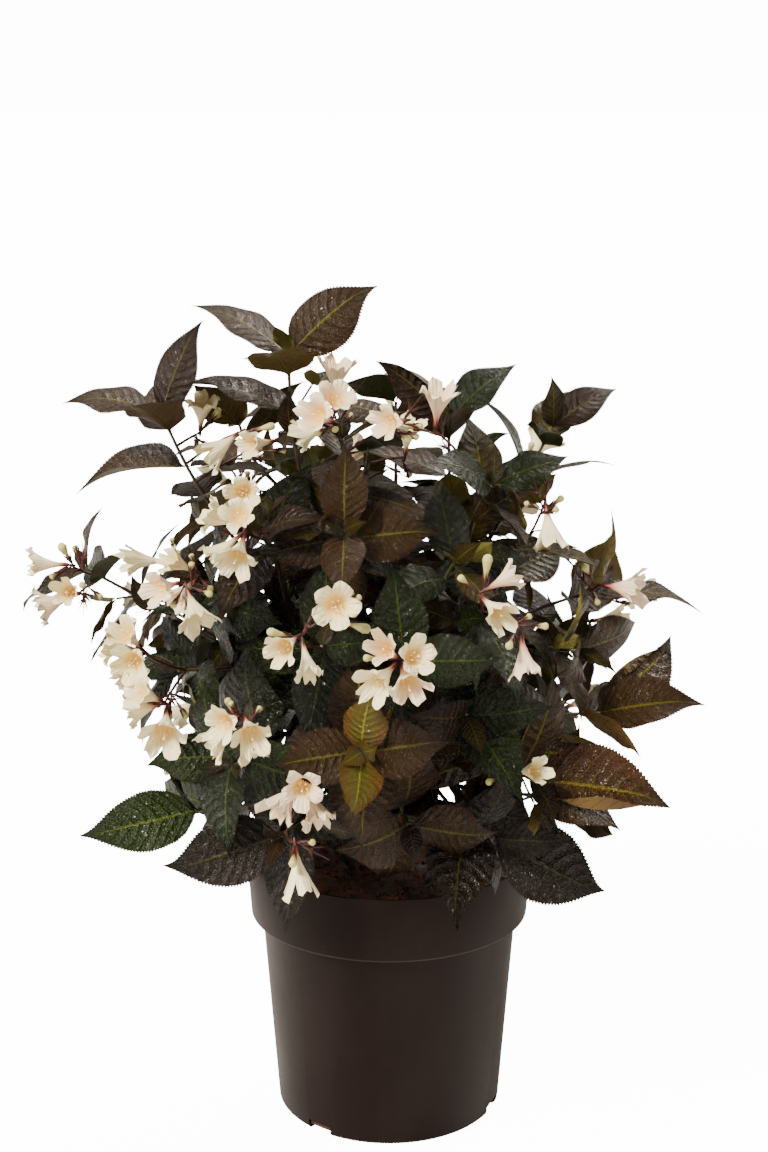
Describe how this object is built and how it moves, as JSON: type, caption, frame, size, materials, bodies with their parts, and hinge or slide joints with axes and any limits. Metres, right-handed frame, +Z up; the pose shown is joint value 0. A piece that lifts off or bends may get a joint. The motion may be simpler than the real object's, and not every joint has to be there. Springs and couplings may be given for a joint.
{
  "type": "potted weigela",
  "caption": "Dark-leaved weigela shrub with trumpet-shaped white flowers, standing in a plain round nursery pot.",
  "frame": {"origin": "middle of the pot's flat underside", "axes": "+Z up along the pot's axis; -Y is the side that the picture shows; +X is to the right in that view"},
  "size_m": [0.4726, 0.4046, 0.5815],
  "materials": {
    "pot_plastic": "dark brown-grey moulded polypropylene with a satin surface",
    "peat": "moist reddish-brown peat compost, crumbly and matt",
    "bark": "thin grey-brown bark with fine upright cracks",
    "foliage": "glossy, quilted bronze-purple to deep green leaves on purple-red young stems",
    "blossom": "soft cream-white petals with a pink-red tube and a warm yellow throat"
  },
  "bodies": {
    "root": {"pot": "pot_plastic", "potting_soil": "peat", "stem": "bark", "cane_back": "bark", "cane_centre": "bark", "cane_front": "bark", "cane_left": "bark", "cane_right": "bark", "bough_back_left": "bark", "bough_back_low": "bark", "bough_back_middle": "bark", "bough_back_right": "bark", "bough_far_left": "bark", "bough_far_right": "bark", "bough_front_centre": "bark", "bough_front_left": "bark", "bough_front_low": "bark", "bough_front_right": "bark", "bough_low_left": "bark", "bough_low_right": "bark", "bough_rim_front": "bark", "bough_rim_left": "bark", "bough_rim_right": "bark", "bough_shoulder_front": "bark", "bough_shoulder_left": "bark", "bough_shoulder_right": "bark", "bough_side_back_left": "bark", "bough_side_back_right": "bark", "bough_side_left": "bark", "bough_top_right": "bark", "back_left": "foliage", "back_low": "foliage", "back_middle": "foliage", "back_right": "foliage", "crown_back": "foliage", "crown_centre": "foliage", "crown_front": "foliage", "crown_left": "foliage", "crown_right": "foliage", "far_left": "foliage", "far_right": "foliage", "front_centre": "foliage", "front_left": "foliage", "front_low": "foliage", "front_right": "foliage", "low_left": "foliage", "low_right": "foliage", "rim_front": "foliage", "rim_left": "foliage", "rim_right": "foliage", "shoulder_front": "foliage", "shoulder_left": "foliage", "shoulder_right": "foliage", "side_back_left": "foliage", "side_back_right": "foliage", "side_left": "foliage", "top_right": "foliage"}
  },
  "joints": []
}
